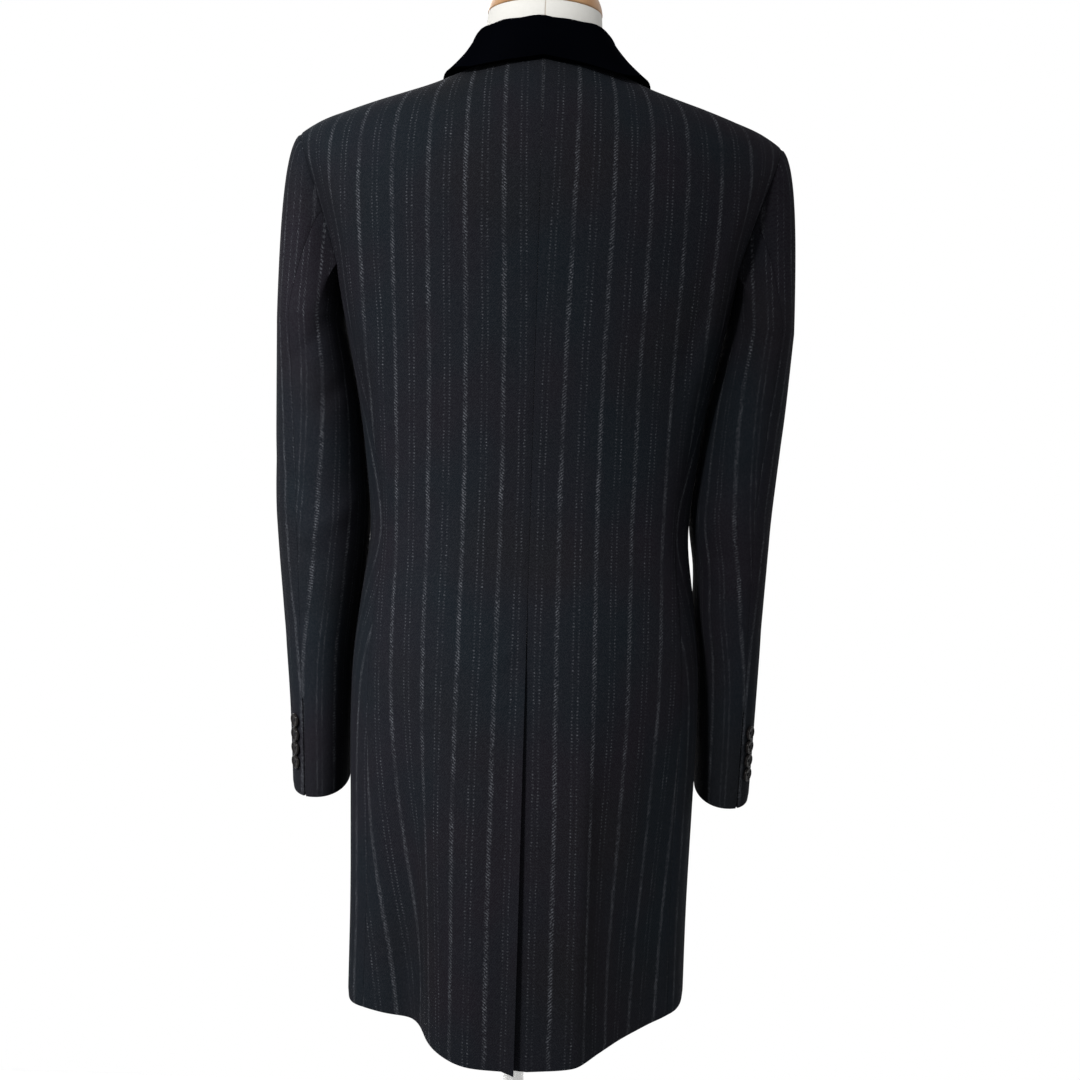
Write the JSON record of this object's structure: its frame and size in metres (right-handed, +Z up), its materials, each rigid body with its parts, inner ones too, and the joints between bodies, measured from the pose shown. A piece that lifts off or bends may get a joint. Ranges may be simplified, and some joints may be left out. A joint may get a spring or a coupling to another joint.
{
  "type": "chesterfield coat on a dress form",
  "caption": "Knee-length tailored overcoat with a velvet collar, notched lapels, buttoned cuffs and a long back vent, standing on a limbless dress form with a round base.",
  "frame": {"origin": "on the floor under the middle of the whole part", "axes": "+Z up, the coat's front faces -Y and its wearer's left is +X"},
  "size_m": [0.5186, 0.3714, 1.5256],
  "materials": {
    "coat_cloth": "matte wool with chalk stripes",
    "velvet": "black velvet",
    "button": "polished",
    "linen": "natural linen",
    "wood": "satin varnish",
    "lacquer": "satin white"
  },
  "bodies": {
    "root": {"back_left": "coat_cloth", "back_right": "coat_cloth", "front_left": "coat_cloth", "front_right": "coat_cloth", "lapel_left": "coat_cloth", "lapel_right": "coat_cloth", "top_sleeve_left": "coat_cloth", "top_sleeve_right": "coat_cloth", "under_sleeve_left": "coat_cloth", "under_sleeve_right": "coat_cloth", "collar": "velvet", "cuff_button_left_1": "button", "cuff_button_left_2": "button", "cuff_button_left_3": "button", "cuff_button_left_4": "button", "cuff_button_right_1": "button", "cuff_button_right_2": "button", "cuff_button_right_3": "button", "cuff_button_right_4": "button", "front_button_1": "button", "front_button_2": "button", "front_button_3": "button", "form_torso": "linen", "form_cap": "wood", "stand_pole": "lacquer", "stand_base": "lacquer"}
  },
  "joints": []
}
